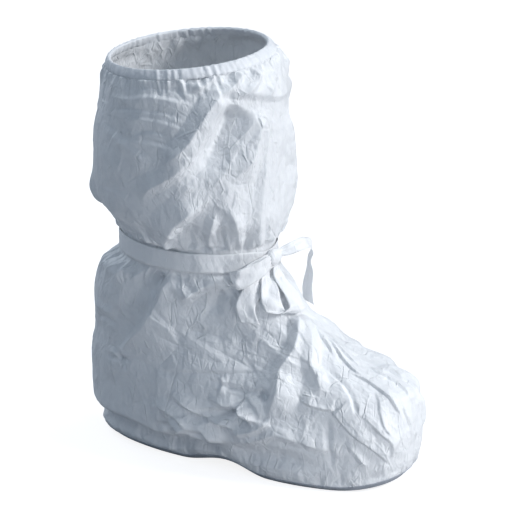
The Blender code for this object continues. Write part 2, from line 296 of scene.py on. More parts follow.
OUTER_LEG_FOLDS = (
    # the shoulder under the collar
    Fold(((-110, 408), (-76, 416), (-58, 413), (-44, 409)), 3, 12, 8, 1.5),
    Fold(((-58, 413), (-44, 408), (-21, 400), (5, 388), (30, 384)), 4.5, 22, 7, 1.5),
    Fold(((-24, 420), (-33, 410), (-46, 400)), 4, 5, 9, 0.6, 0.1, 0.5),
    Fold(((-10, 417), (-20, 406), (-33, 398)), 4, 5, 10, 0.6, 0.1, 0.5),
    Fold(((4, 410), (-6, 399), (-16, 390)), 3.5, 5, 9, 0.6, 0.1, 0.5),
    Fold(((-40, 424), (-48, 415), (-62, 406)), 3.5, 4, 8, 0.6, 0.1, 0.5),
    Fold(((-58, 426), (-64, 419), (-76, 412)), 3, 4, 7, 0.6, 0.1, 0.5),
    # the long slanting ridge and the one under it
    Fold(((-38, 408), (-49, 392), (-56, 373), (-62, 357), (-74, 337), (-80, 329)), 10, 24, 14, 0.6, 0.15),
    Fold(
        ((-52, 356), (-60, 345), (-66, 331), (-74, 319), (-84, 307), (-88, 297), (-89, 284)),
        6, 9, 16, 0.6, 0.5,
    ),
    # the flat hollow beside them, and its edge towards the shin
    Fold(((-30, 391), (-38, 368), (-46, 346), (-54, 326), (-62, 308)), -17, 20, 18, 4, 0.12, 0.6),
    Fold(((-17, 386), (-20, 360), (-26, 334), (-38, 312)), 10, 20, 14, 0.6, 0.2, 0.4),
    # the crease down the shin
    Fold(((-10, 384), (-13, 349), (-15, 314), (-20, 276), (-22, 238)), 4.5, 22, 9, 0.8, end=0.1),
    # level wrinkles across the calf
    Fold(((-126, 388), (-104, 392), (-84, 399), (-66, 396), (-54, 390)), 1.7, 4, 9, 0.5),
    Fold(((-118, 376), (-98, 384), (-80, 386), (-62, 378)), -1.6, 7, 3, 0.5),
    Fold(((-108, 368), (-90, 376), (-74, 374), (-60, 366)), 1.6, 3, 10, 0.5),
    Fold(((-98, 358), (-84, 366), (-72, 362)), -1.4, 7, 3, 0.5),
    Fold(((-112, 340), (-96, 352), (-80, 352), (-68, 346)), 1.5, 4, 10, 0.5),
    Fold(((-128, 354), (-108, 350), (-92, 340), (-80, 326)), 2.2, 7, 16, 0.8),
    # what the tie gathers, above it
    Fold(((-50, 301), (-63, 284), (-73, 269), (-82, 250), (-84, 237)), 10, 11, 24, 1, 0.3, 0.12),
    Fold(((-60, 266), (-68, 252), (-71, 236)), -6, 8, 8, end=0.05),
    Fold(((-46, 286), (-52, 264), (-58, 237)), 6, 9, 8, 0.8, end=0.15),
    Fold(((-44, 268), (-47, 250), (-47, 236)), -5, 6, 7, end=0.05),
    Fold(((-41, 290), (-36, 270), (-36, 250), (-32, 236)), 4.5, 10, 8, 0.8, end=0.3),
    Fold(((-126, 262), (-119, 246), (-112, 236)), -5, 11, 10, end=0.05),
    # the roll that hangs over the tie at the back
    Fold(((-230, 246), (-170, 246), (-120, 246)), -9, 34, 14, 6),
    Fold(((-130, 242), (-118, 241), (-106, 239), (-96, 238)), 3, 9, 5, 1),
)
OUTER_FOOT_FOLDS = (
    # out of the tie, towards the heel
    Fold(((-48, 208), (-59, 202), (-73, 191), (-85, 176)), 9, 9, 18, 0.8, 0.1),
    Fold(((-53, 196), (-63, 183), (-70, 164)), -7, 11, 9, 2),
    # the edge of the flat side, and the hollow behind it
    Fold(
        ((-84, 207), (-90, 191), (-96, 169), (-110, 140), (-124, 118), (-132, 88)),
        7, 40, 8, 0.8, 0.05, 0.4,
    ),
    Fold(((-91, 206), (-99, 186), (-107, 160), (-121, 132), (-136, 108)), -9, 9, 26, 3, 0.05, 0.4),
    Fold(((-93, 200), (-96, 184), (-100, 174)), -7, 4, 10, 1, 0.2, 0.2),
    Fold(((-116, 209), (-122, 194), (-130, 178)), 4, 9, 1.5, 0.4, 0.05, 0.6),
    Fold(((-126, 209), (-132, 196), (-141, 182)), 4, 9, 1.5, 0.4, 0.05, 0.6),
    Fold(((-138, 209), (-145, 196), (-154, 178)), 3.5, 9, 1.5, 0.4, 0.05, 0.6),
    Fold(((-106, 209), (-109, 198), (-114, 186)), 3, 6, 1.5, 0.4, 0.05, 0.6),
    # a star of creases at the heel
    Fold(((-140, 95), (-128, 99), (-120, 101)), -4, 5, 5),
    Fold(((-132, 108), (-127, 98), (-123, 86)), -3, 5, 5),
    Fold(((-136, 104), (-128, 98)), 3, 6, 6),
    Fold(((-150, 150), (-136, 146), (-124, 150)), 3, 8, 6, 0.8),
    Fold(((-152, 132), (-138, 136), (-128, 132)), -3, 6, 6, 0.8),
    # flat folds from the packet
    Fold(((-90, 147), (-82, 146), (-71, 143)), -3, 10, 6, 0.8),
    Fold(((-111, 95), (-100, 103), (-89, 109), (-75, 116), (-68, 117)), -1.8, 3, 18, 0.5, 0.2, 0.2),
    Fold(((-108, 100), (-107, 72), (-108, 42)), 4, 24, 5, 0.6, 0.1, 0.1),
    Fold(((-89, 108), (-90, 86)), 3, 7, 4, 0.6),
    Fold(((-92, 104), (-88, 97), (-81, 97), (-75, 105)), -3, 5, 5, 0.6),
    Fold(((-80, 99), (-77, 90)), -8, 8, 7, 2),
    # crushed over the waist
    Fold(((-104, 80), (-96, 70), (-90, 62), (-84, 56)), 8.5, 13, 5, 0.5),
    Fold(((-98, 56), (-90, 66), (-86, 78), (-81, 90)), -6, 8, 5, 0.6),
    Fold(((-92, 82), (-84, 76), (-77, 66)), 8, 12, 5, 0.5),
    Fold(((-88, 50), (-81, 60), (-75, 76)), 5.5, 9, 5, 0.5),
    Fold(((-96, 68), (-88, 71), (-80, 67)), -5, 3, 6, 0.5),
    Fold(((-110, 66), (-101, 60), (-95, 50)), 6, 11, 4, 0.5),
    Fold(((-84, 92), (-80, 82), (-79, 72)), 4, 6, 4, 0.5),
    Fold(((-107, 64), (-102, 51), (-96, 42), (-88, 37)), 10, 28, 6, 1, 0.3, 0.3),
    Fold(((-86, 82), (-83, 71), (-80, 62)), 7, 11, 4, 0.5, 0.1, 0.4),
    # where it hangs over and turns under the foot
    Fold(((-172, 44), (-143, 38), (-126, 39), (-117, 37), (-109, 33), (-103, 38)), 5, 30, 7, 1.5, 0.4, 0.1),
    Fold(((-106, 36), (-102, 39), (-96, 51), (-93, 52), (-91, 44), (-89, 37)), 6, 14, 6, 0.8, 0.2, 0.2),
    Fold(
        ((-178, 24), (-141, 23), (-124, 23), (-114, 20), (-106, 20), (-97, 28), (-90, 25)),
        -10, 10, 11, 4, 0.1, 0.1,
    ),
    Fold(
        ((-90, 37), (-80, 50), (-74, 59), (-66, 55), (-58, 50), (-46, 46), (-34, 40)),
        5.5, 18, 8, 0.8, 0.3, 0.5,
    ),
    Fold(((-90, 26), (-80, 31), (-72, 33), (-64, 30), (-54, 27)), -8, 12, 14, 5, 0.3, 0.5),
    # the edge between side and front, from the ankle to the ball
    Fold(
        ((-10, 168), (-29, 150), (-55, 126), (-66, 115), (-73, 100), (-76, 81), (-77, 61)),
        9, 24, 10, 0.8, 0.1,
    ),
    Fold(((-1, 164), (-29, 140), (-46, 121), (-61, 96)), 6, 10, 11, 0.8),
    # fabric lapped over itself towards the toe
    Fold(((-66, 97), (-61, 92), (-53, 90)), 3.2, 14, 1.2, 0.4, 0.2, 0.05),
    Fold(((-54, 89), (-45, 68), (-35, 54), (-22, 34)), 3.5, 28, 1.2, 0.4, 0.05, 0.2),
    Fold(((-44, 92), (-38, 84), (-30, 70), (-22, 56), (-21, 36)), 2.7, 16, 1.2, 0.4, 0.4),
    Fold(((-4, 148), (-10, 138), (-17, 128), (-24, 116)), 2.8, 15, 1.2, 0.4),
    Fold(((-4, 157), (-12, 143), (-20, 132)), 2.7, 12, 1.2, 0.4),
    Fold(((-2, 150), (-8, 134), (-12, 122)), 2.6, 10, 1.2, 0.4),
    Fold(((-26, 122), (-23, 108), (-18, 92), (-12, 78)), 3, 18, 1.2, 0.4),
    Fold(((-2, 124), (-3, 110), (-4, 94)), 2.8, 14, 1.2, 0.4),
    Fold(((7, 122), (8, 106), (8, 88)), 2.5, 11, 1.2, 0.4),
    Fold(((-36, 126), (-42, 110), (-44, 96), (-40, 82)), -1.6, 5, 2, 0.4),
    Fold(((-28, 108), (-30, 94), (-28, 78), (-20, 62)), 1.8, 12, 1.2, 0.4),
    Fold(((-14, 104), (-12, 90), (-6, 72), (-4, 52)), 1.8, 12, 1.2, 0.4),
    Fold(((-56, 86), (-55, 54), (-53, 26)), -3.5, 6, 5, 0.6),
    Fold(((-48, 60), (-42, 46), (-36, 30)), 3, 6, 5, 0.5),
)
INNER_FOLDS = (
    # the leg
    Fold(((20, 396), (44, 404), (70, 408), (104, 404)), 5.6, 10, 14),
    Fold(((36, 398), (50, 372), (66, 346), (88, 322)), 9.6, 16, 22),
    Fold(((24, 372), (38, 346), (56, 318), (70, 306)), -11.2, 20, 14, 4),
    Fold(((14, 380), (18, 330), (22, 280), (26, 238)), 6.4, 10, 18, end=0.3),
    Fold(((78, 384), (98, 378), (122, 372)), 3.8, 7, 6),
    Fold(((92, 360), (116, 352), (138, 338)), -4.8, 7, 8),
    Fold(((60, 300), (76, 280), (86, 256), (88, 236)), 8, 20, 12, end=0.35),
    Fold(((48, 284), (56, 260), (60, 236)), -9.6, 9, 9, end=0.05),
    Fold(((108, 290), (114, 262), (118, 236)), 7, 12, 14, end=0.4),
    Fold(((130, 300), (126, 268), (128, 236)), -8, 12, 10, end=0.05),
    # the back of the leg
    Fold(((150, 398), (176, 392), (206, 396)), 4.8, 9, 10),
    Fold(((158, 370), (182, 346), (200, 318)), 8, 16, 18),
    Fold(((196, 360), (184, 330), (170, 300)), -6.4, 14, 14, 3),
    Fold(((160, 296), (170, 268), (174, 236)), 6, 14, 14, end=0.5),
    Fold(((196, 290), (190, 262), (192, 236)), -8, 11, 11, end=0.05),
    Fold(((214, 300), (212, 268), (210, 236)), 5, 13, 14, end=0.5),
    # the heel and the inner side of the foot
    Fold(((162, 206), (172, 176), (182, 140), (196, 112)), -9.6, 18, 16, 3, 0.05, 0.4),
    Fold(((136, 206), (130, 182), (122, 150), (112, 122)), -9.6, 18, 14, 3, 0.05, 0.4),
    Fold(((110, 207), (104, 186), (92, 164), (84, 146)), 9.6, 14, 16, start=0.05),
    Fold(((70, 206), (62, 186), (54, 166)), 8, 12, 12, start=0.05),
    Fold(((84, 206), (80, 188), (76, 172)), -8, 9, 9, start=0.05),
    Fold(((112, 94), (96, 106), (80, 112), (66, 114)), 3.5, 6, 10, 0.8),
    Fold(((104, 100), (106, 70), (104, 42)), 3.2, 6, 9, 0.8),
    Fold(((94, 84), (86, 66), (78, 60)), 5.4, 10, 9),
    Fold(((100, 62), (90, 74), (82, 88)), -5.4, 9, 9),
    Fold(((172, 38), (146, 42), (120, 38), (98, 44), (80, 54), (60, 60)), 6.4, 9, 20),
    Fold(((92, 26), (78, 30), (62, 28)), -11.2, 14, 24, 6),
    # the inner side of the instep and the toe
    Fold(((8, 166), (34, 144), (54, 118), (68, 88), (72, 60)), 9.6, 18, 24),
    Fold(((20, 140), (34, 122), (46, 92)), 5.4, 3, 14, 0.8),
    Fold(((12, 122), (22, 106), (26, 84)), 5.1, 2.6, 14, 0.8),
    Fold(((46, 92), (36, 66), (26, 38)), 5.8, 2.6, 18, 0.8),
    Fold(((10, 100), (12, 78), (8, 56)), 4.2, 3, 12, 0.8),
)
for fold in OUTER_LEG_FOLDS + OUTER_FOOT_FOLDS + INNER_FOLDS:
    for zone in zones:
        press_fold(zone, fold, fold_line(fold.path))


class Gather(NamedTuple):
    """A row of small flutes that a drawn edge pulls into the fabric. Sizes are in millimetres."""

    zone: Zone
    level: float  # the drawn edge
    way: int  # 1 is upwards
    flutes: int
    longest: float
    rise: float


TIE_HALF, HEM_LEVELS = 0.5, 1.1  # levels from the tie's middle to its edge, and under the collar's hem
GATHERS = (
    Gather(leg, NECK_LEVEL + TIE_HALF, 1, 76, 52, 4.2),
    Gather(foot, NECK_LEVEL - TIE_HALF, -1, 76, 50, 4.0),
    Gather(leg, TOP_LEVEL - HEM_LEVELS, -1, 110, 46, 2.4),
    Gather(foot, RIM_LEVEL + 0.1, 1, 96, 26, 2.2),
)
FLUTE_SPREAD = 0.35  # share of the distance between two flutes
SHORTEST_FLUTE, MOSTLY_SHORT = 0.25, 1.6  # share of the longest, and a power on the chance lengths
FLUTE_LEAN = 0.12  # degrees of turn to a millimetre of length
LOWEST_FLUTE = 0.4  # share of the highest
TWO_RIDGES_TO_A_TROUGH = (1, 1, -1)
FLUTE_REACH, OTHER_FLANK = (2.2, 5.5), (0.7, 1.4)  # millimetres, and shares of that
chance = np.random.default_rng(7)
for gather in GATHERS:
    for k in range(gather.flutes):
        turn = 360 * (k + chance.uniform(-FLUTE_SPREAD, FLUTE_SPREAD)) / gather.flutes
        edge = upper_face(gather.level, math.radians(turn))[2] / MM
        length = gather.longest * chance.uniform(SHORTEST_FLUTE, 1) ** MOSTLY_SHORT
        sideways = chance.normal(0, FLUTE_LEAN) * length
        stations = [(turn + sideways * s, edge + gather.way * length * s) for s in (0, 0.5, 1)]
        rise = gather.rise * chance.uniform(LOWEST_FLUTE, 1) * chance.choice(TWO_RIDGES_TO_A_TROUGH)
        reach = chance.uniform(*FLUTE_REACH)
        other = reach * chance.uniform(*OTHER_FLANK)
        flute = Fold(stations, rise, reach, other, crest=0.5, start=0, end=0.9)
        press_fold(gather.zone, flute, fold_line(stations))


class Scatter(NamedTuple):
    """Small straight creases that wear leaves all over the fabric. Sizes are in millimetres."""

    apart: float  # about the distance between two of them
    shortest: float
    longest: float
    rise: float


SCATTERS = (Scatter(42, 30, 80, 1.3), Scatter(22, 12, 30, 0.6))
LOWEST_CREASE = 0.3  # share of the highest
WIDE_FLANK, STEEP_FLANK = (0.15, 0.4), (1.5, 3)  # shares of its length, and millimetres


def scatter_creases(zone, scatter):
    """Presses creases of chance lengths and headings into a zone."""
    for _ in range(round(zone.rows * zone.columns * (zone.cell / scatter.apart) ** 2)):
        length = chance.uniform(scatter.shortest, scatter.longest)
        heading = chance.uniform(0, math.pi)
        steps = np.linspace(-0.5, 0.5, 3) * length / zone.cell
        rows = (chance.uniform(0, zone.rows) + steps * math.sin(heading)).round().astype(int)
        columns = (chance.uniform(0, zone.columns) + steps * math.cos(heading)).round().astype(int)
        rise = scatter.rise * chance.uniform(LOWEST_CREASE, 1) * chance.choice((1, -1))
        wide, steep = length * chance.uniform(*WIDE_FLANK), chance.uniform(*STEEP_FLANK)
        if rows.min() >= 0 and rows.max() < zone.rows:
            line = zone.face[rows, columns % zone.columns]
            press_fold(zone, Fold((), rise, wide, steep, crest=0.4, start=0.5, end=0.5), line)


for zone in zones:
    for scatter in SCATTERS:
        scatter_creases(zone, scatter)


class Crush(NamedTuple):
    """A size of facet in the crushed fabric, in millimetres."""

    spacing: float
    rise: float


class Patch(NamedTuple):
    """A place where the fabric is crushed more, or less, than elsewhere. Degrees and millimetres."""

    turn: float
    height: float
    reach: float
    gain: float


CRUSHES = (Crush(70, 2.8), Crush(32, 0.9), Crush(14, 0.2))
PATCHES = (
    Patch(-86, 68, 45, 0.9),
    Patch(-45, 250, 50, 0.6),
    Patch(-70, 392, 50, 0.4),
    Patch(-125, 130, 55, -0.5),
    Patch(-110, 310, 60, -0.5),
    Patch(90, 70, 50, 0.7),
    Patch(60, 260, 60, 0.5),
)
EVEN_CRUSH = 0.7
FACET_SPREAD = 0.42  # share of the spacing
SEAM_MARGIN = 3  # facets that are repeated past each end of the grid
SAME_POINT, ON_EDGE = 1e-6, 1e-9  # tolerances, in points of the grid and in shares of a facet


def whole_between(low, high, count):
    """The whole numbers from low to high that are indices of a list of that many."""
    return np.arange(max(math.ceil(low), 0), min(math.floor(high), count - 1) + 1)


def crushed(zone, crush):
    """Flat facets between scattered points of a zone's grid, each at a height of its own."""
    step = crush.spacing / zone.cell
    margin = SEAM_MARGIN * step
    down, across = math.ceil(zone.rows / step) + 2, round(zone.columns / step)
    places, heights = [], []
    for i in range(down):
        for j in range(across):
            row = (i - 0.5 + chance.uniform(-FACET_SPREAD, FACET_SPREAD)) * step
            column = (j + chance.uniform(-FACET_SPREAD, FACET_SPREAD)) * zone.columns / across
            height = chance.normal(0, crush.rise * MM)
            for once_round in (-zone.columns, 0, zone.columns):
                if -margin < column + once_round < zone.columns + margin:
                    places.append(Vector((column + once_round, row)))
                    heights.append(height)
    corners, _, facets, sources, _, _ = delaunay_2d_cdt(places, [], [], 0, SAME_POINT)
    levels = [heights[source[0]] for source in sources]
    made = np.zeros((zone.rows, zone.columns))
    for facet in facets:
        (ax, ay), (bx, by), (cx, cy) = [corners[i] for i in facet]
        columns = whole_between(min(ax, bx, cx), max(ax, bx, cx), zone.columns)
        rows = whole_between(min(ay, by, cy), max(ay, by, cy), zone.rows)[:, None]
        area = (bx - ax) * (cy - ay) - (cx - ax) * (by - ay)
        b = ((columns - ax) * (cy - ay) - (rows - ay) * (cx - ax)) / area
        c = ((rows - ay) * (bx - ax) - (columns - ax) * (by - ay)) / area
        inside = (b >= -ON_EDGE) & (c >= -ON_EDGE) & (b + c <= 1 + ON_EDGE)
        value = levels[facet[0]] * (1 - b - c) + levels[facet[1]] * b + levels[facet[2]] * c
        made[rows, columns] = np.where(inside, value, made[rows, columns])
    return made


RIDGE_FADE, TROUGH_FADE, RIM_FADE = 1.1, 0.4, 0.5  # levels over which relief dies out at the tie and the rim
TIE_PRESS = 0.6 * MM  # how far the tie presses the fabric in
HEM_FLATTENS, HEM_REACH, HEM_FADE = 0.7, 1.2, 0.3  # share of the relief at the collar, and levels
for zone in zones:
    amount = np.full(zone.relief.shape, EVEN_CRUSH)
    for patch in PATCHES:
        spot = fold_line(((patch.turn, patch.height), (patch.turn, patch.height)))[0]
        amount += patch.gain * np.exp(-np.sum((zone.face - spot) ** 2, axis=-1) / (patch.reach * MM) ** 2)
    for crush in CRUSHES:
        zone.relief += amount * crushed(zone, crush)
    from_tie = np.abs(zone.levels - NECK_LEVEL) - TIE_HALF
    free = smooth(from_tie / TROUGH_FADE)
    proud = np.maximum(zone.relief, 0) * smooth(from_tie / RIDGE_FADE)
    sunk = np.minimum(zone.relief, 0) * free
    zone.relief = proud + sunk - TIE_PRESS * (1 - free)
    zone.relief *= smooth((zone.levels - RIM_LEVEL) / RIM_FADE)
    zone.relief *= 1 - HEM_FLATTENS * smooth((zone.levels - TOP_LEVEL + HEM_REACH) / HEM_FADE)


def least_near(field, reach):
    """The least value of a field within reach points of each point."""
    for _ in range(reach):
        tall = np.pad(field, ((1, 1), (0, 0)), "edge")
        field = np.minimum(field, np.minimum(tall[:-2], tall[2:]))
        field = np.minimum(field, np.minimum(np.roll(field, 1, axis=1), np.roll(field, -1, axis=1)))
    return field


def ring_faces(rows, columns):
    """Four-sided faces of a grid that closes on itself."""
    index = np.arange(rows * columns).reshape(rows, columns)
    beside = np.roll(index, -1, axis=1)
    return np.stack([index[:-1], beside[:-1], beside[1:], index[1:]], -1).reshape(-1, 4)


def grid_normals(points):
    """The outward direction at each point of a grid that closes on itself."""
    round_it = np.roll(points, -1, axis=1) - np.roll(points, 1, axis=1)
    normal = np.cross(round_it, np.gradient(points, axis=0))
    return normal / np.linalg.norm(normal, axis=-1, keepdims=True)


def piece_of(name, points, faces, material, normals=None):
    """A smooth mesh object, in place, riding on the cover."""
    mesh = bpy.data.meshes.new(name)
    mesh.from_pydata(np.asarray(points).reshape(-1, 3).tolist(), [], [list(map(int, f)) for f in faces])
    mesh.shade_smooth()
    if normals is not None:
        mesh.normals_split_custom_set_from_vertices(normals.reshape(-1, 3).tolist())
    mesh.materials.append(material)
    piece = bpy.data.objects.new(name, mesh)
    bpy.context.scene.collection.objects.link(piece)
    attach(piece, "root")
    return piece


def add_node(tree, kind, inputs=(), **settings):
    """A node with its settings, and with values or links in its inputs."""
    node = tree.nodes.new(kind)
    for name, value in settings.items():
        setattr(node, name, value)
    for name, value in dict(inputs).items():
        if isinstance(value, bpy.types.NodeSocket):
            tree.links.new(value, node.inputs[name])
        else:
            node.inputs[name].default_value = value
    return node


CLOUD_SCALE, FIBRE_SCALE = 130, 1500  # to a metre
FIBRE_LEANS, FIBRE_STRETCH, FIBRE_HEIGHT = (25, -40), 0.22, 0.03  # degrees, and millimetres
FACETS, FACET_STRETCH = ((28, 35), (55, -50), (120, 15), (250, 65)), 0.65  # number to a metre, and heading
CREASE_LINES, CREASE_STRETCH = ((24, 20), (40, -65), (65, 40), (100, -20)), 0.5
CREASE_WIDTH = 1 * MM  # half of a thin crease line
CREASE_NOISE, CREASE_SHOWS = 0.9, (0.28, 0.72)  # where along a line it is a groove or a ridge
CLOUD_ENDS = (0.3, 0.7)  # of the cloudiness, for the two tints
DULLNESS = 0.08  # by which cloudiness changes the roughness, either way


def worked_out(tree, operation, *values):
    """The result of a sum on values or links."""
    return add_node(tree, "ShaderNodeMath", dict(enumerate(values)), operation=operation).outputs[0]


def mapped(tree, value, **ends):
    """A value taken from one range to another, whose ends are named as on the node."""
    ranges = {name.replace("_", " ").title(): end for name, end in ends.items()}
    return add_node(tree, "ShaderNodeMapRange", {"Value": value, **ranges}).outputs[0]


def turned_cells(tree, where, headings, scale, stretch):
    """Coordinates for a pattern of long cells, and each point's distance from the edge of its cell."""
    turned = tuple(math.radians(heading) for heading in headings)
    laid = {"Vector": where, "Rotation": turned, "Scale": (scale, scale, scale * stretch)}
    laid = add_node(tree, "ShaderNodeMapping", laid).outputs[0]
    cells = add_node(tree, "ShaderNodeTexVoronoi", {"Vector": laid, "Scale": 1}, feature="DISTANCE_TO_EDGE")
    return laid, cells.outputs["Distance"]


def make_nonwoven_group():
    """The fibre web, cloudy thickness, dry facets and thin creases of the fabric. Height is in mm."""
    group = bpy.data.node_groups.new("nonwoven", "ShaderNodeTree")
    for name, kind in (("Facet", "Float"), ("Crease", "Float"), ("Cut", "Vector")):
        group.interface.new_socket(name, in_out="INPUT", socket_type="NodeSocket" + kind)
    for name in ("Cloud", "Height"):
        group.interface.new_socket(name, in_out="OUTPUT", socket_type="NodeSocketFloat")
    given = add_node(group, "NodeGroupInput")
    place = {0: add_node(group, "ShaderNodeTexCoord").outputs["Object"], 1: given.outputs["Cut"]}
    where = add_node(group, "ShaderNodeVectorMath", place, operation="ADD").outputs[0]
    cloud = {"Vector": where, "Scale": CLOUD_SCALE, "Detail": 5, "Roughness": 0.65}
    cloud = add_node(group, "ShaderNodeTexNoise", cloud).outputs[0]
    height = 0
    for lean in FIBRE_LEANS:
        tilt = (math.radians(lean), math.radians(lean), 0)
        laid = {"Vector": where, "Rotation": tilt, "Scale": (1, 1, FIBRE_STRETCH)}
        laid = add_node(group, "ShaderNodeMapping", laid).outputs[0]
        web = add_node(group, "ShaderNodeTexNoise", {"Vector": laid, "Scale": FIBRE_SCALE, "Detail": 3})
        height = worked_out(group, "MULTIPLY_ADD", web.outputs[0], FIBRE_HEIGHT, height)
    for scale, heading in FACETS:
        laid, ridges = turned_cells(group, where, (heading, heading / 2, -heading), scale, FACET_STRETCH)
        cells = add_node(group, "ShaderNodeTexVoronoi", {"Vector": laid, "Scale": 1}).outputs["Color"]
        steep = mapped(group, cells, to_min=-1 / (scale * MM), to_max=1 / (scale * MM))
        steep = worked_out(group, "MULTIPLY", steep, given.outputs["Facet"])
        height = worked_out(group, "MULTIPLY_ADD", ridges, steep, height)
    for scale, heading in CREASE_LINES:
        laid, gap = turned_cells(group, where, (heading, -heading / 2, heading), scale, CREASE_STRETCH)
        line = mapped(group, gap, from_max=CREASE_WIDTH * scale, to_min=1, to_max=0)
        noise = {"Vector": laid, "Scale": CREASE_NOISE, "Detail": 1}
        noise = add_node(group, "ShaderNodeTexNoise", noise).outputs[0]
        shown = mapped(group, noise, from_min=CREASE_SHOWS[0], from_max=CREASE_SHOWS[1], to_min=-1, to_max=1)
        shown = worked_out(group, "MULTIPLY", shown, worked_out(group, "ABSOLUTE", shown))
        line = worked_out(group, "MULTIPLY", line, shown)
        height = worked_out(group, "MULTIPLY_ADD", line, given.outputs["Crease"], height)
    add_node(group, "NodeGroupOutput", {"Cloud": cloud, "Height": height})
    return group


nonwoven = make_nonwoven_group()


def fabric(name, thin, thick, roughness, sheen, facet, crease, cut=(0, 0, 0)):
    """A nonwoven finish, tinted from thin to thick by its cloudiness. Cut is its place on the roll."""
    material = bpy.data.materials.new(name)
    material.use_nodes = True
    tree = material.node_tree
    shader = tree.nodes["Principled BSDF"]
    grain = {"Facet": facet, "Crease": crease, "Cut": cut}
    grain = add_node(tree, "ShaderNodeGroup", node_tree=nonwoven, inputs=grain)
    cloud = grain.outputs["Cloud"]
    tint = add_node(tree, "ShaderNodeValToRGB", {"Fac": cloud})
    for end, place, colour in zip(tint.color_ramp.elements, CLOUD_ENDS, (thin, thick)):
        end.position, end.color = place, (*colour, 1)
    dull = mapped(tree, cloud, to_min=roughness - DULLNESS, to_max=roughness + DULLNESS)
    bump = add_node(tree, "ShaderNodeBump", {"Height": grain.outputs["Height"], "Distance": 1 * MM})
    tree.links.new(tint.outputs["Color"], shader.inputs["Base Color"])
    tree.links.new(dull, shader.inputs["Roughness"])
    tree.links.new(bump.outputs["Normal"], shader.inputs["Normal"])
    shader.inputs["Sheen Weight"].default_value = sheen
    return material


LINING_STEP = 4  # points of a zone's grid to one of the lining's
upper_fabric = fabric(
    "upper_fabric",
    thin=(0.85, 0.865, 0.885), thick=(0.92, 0.93, 0.94),
    roughness=0.55, sheen=0.1, facet=0.26, crease=0.7,
)
for zone in zones:
    zone.points = zone.face + zone.outward * zone.relief[..., None]
    inside = zone.face + zone.outward * (least_near(zone.relief, LINING_STEP - 1) - UPPER_WALL)[..., None]
    lining_rows = np.linspace(0, zone.rows - 1, zone.rows // LINING_STEP).round().astype(int)
    lining = inside[lining_rows][:, ::LINING_STEP]
    backing = ring_faces(*lining.shape[:2])[:, ::-1]
    sheets = [piece_of("upper_lining_" + zone.name, lining, backing, upper_fabric)]
    normals = grid_normals(zone.points)
    half = zone.rows // 2
    for part, rows in (("low", slice(0, half + 1)), ("high", slice(half, zone.rows))):
        faces = ring_faces(len(zone.points[rows]), zone.columns)
        name = f"upper_{zone.name}_{part}"
        sheets.append(piece_of(name, zone.points[rows], faces, upper_fabric, normals[rows]))
    for sheet in sheets:
        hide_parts("upper")

# Sole
# A panel of grey coated nonwoven with a fine slip-resistant grain, turned up and sewn round the upper.
# The needle puckers that edge, and wear rounds it over the boot inside.
SOLE_THICKNESS = 1 * MM
SOLE_SPINE = 0.33 * LENGTH  # half the line on which its floor closes
SOLE_LAP = 0.06  # levels by which it laps over the upper's edge
SOLE_COLUMNS, FLOOR_ROWS, EDGE_ROWS = 240, 12, 12
PUCKER, PUCKER_PASSES = 0.5 * MM, 2
SOLE_STANDOFF, STANDOFF_FADE = 0.5 * MM, 0.3  # over the upper's edge, and the levels in which it comes up
CLOSE_UP = 0.05 * MM  # points of the floor that are joined on its spine


def softened(field, passes):
    """Rounds a field's edges by the mean of each point and its neighbours."""
    for _ in range(passes):
        tall = np.pad(field, ((1, 1), (0, 0)), "edge")
        beside = np.roll(field, 1, axis=1) + np.roll(field, -1, axis=1)
        field = (2 * field + tall[:-2] + tall[2:] + beside) / 6
    return field


def thickened(piece, thickness, offset):
    """Gives a sheet its thickness, outside its face for an offset of 1 and inside for -1."""
    solid = piece.modifiers.new("thickness", "SOLIDIFY")
    solid.thickness = thickness
    solid.offset = offset
    return piece


edge_levels = np.linspace(0, RIM_LEVEL + SOLE_LAP, EDGE_ROWS + 1)[:, None]
edge_turns = even_turns(edge_levels[-1:, 0], SOLE_COLUMNS)
pucker = softened(chance.normal(0, PUCKER, (EDGE_ROWS + 1, SOLE_COLUMNS)), PUCKER_PASSES)
edge_off = SOLE_STANDOFF * smooth((edge_levels - RIM_LEVEL + STANDOFF_FADE) / STANDOFF_FADE)
edge_off = edge_off + pucker * (edge_levels / RIM_LEVEL) ** 2
sole_edge = upper_face(edge_levels, edge_turns) + upper_normal(edge_levels, edge_turns) * edge_off[..., None]
ground = sole_edge[0]
spine = np.zeros_like(ground)
spine[:, 0] = np.clip(ground[:, 0], -SOLE_SPINE, SOLE_SPINE)
floor_shares = np.linspace(0, 1, FLOOR_ROWS + 1)[:-1, None, None]
sole_floor = spine + (ground - spine) * floor_shares
sole_floor[..., 2] = sole_profile(sole_floor[..., 0])
sole_points = np.concatenate([sole_floor, sole_edge])
sole_faces = ring_faces(len(sole_points), SOLE_COLUMNS)
sole_fabric = fabric(
    "sole_fabric",
    thin=(0.40, 0.43, 0.48), thick=(0.52, 0.55, 0.60),
    roughness=0.7, sheen=0.05, facet=0.2, crease=0.3,
)
sole = piece_of("sole_panel", sole_points, sole_faces, sole_fabric)
closing = bmesh.new()
closing.from_mesh(sole.data)
bmesh.ops.remove_doubles(closing, verts=closing.verts, dist=CLOSE_UP)
closing.to_mesh(sole.data)
closing.free()
thickened(sole, SOLE_THICKNESS, -1)
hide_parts("sole")

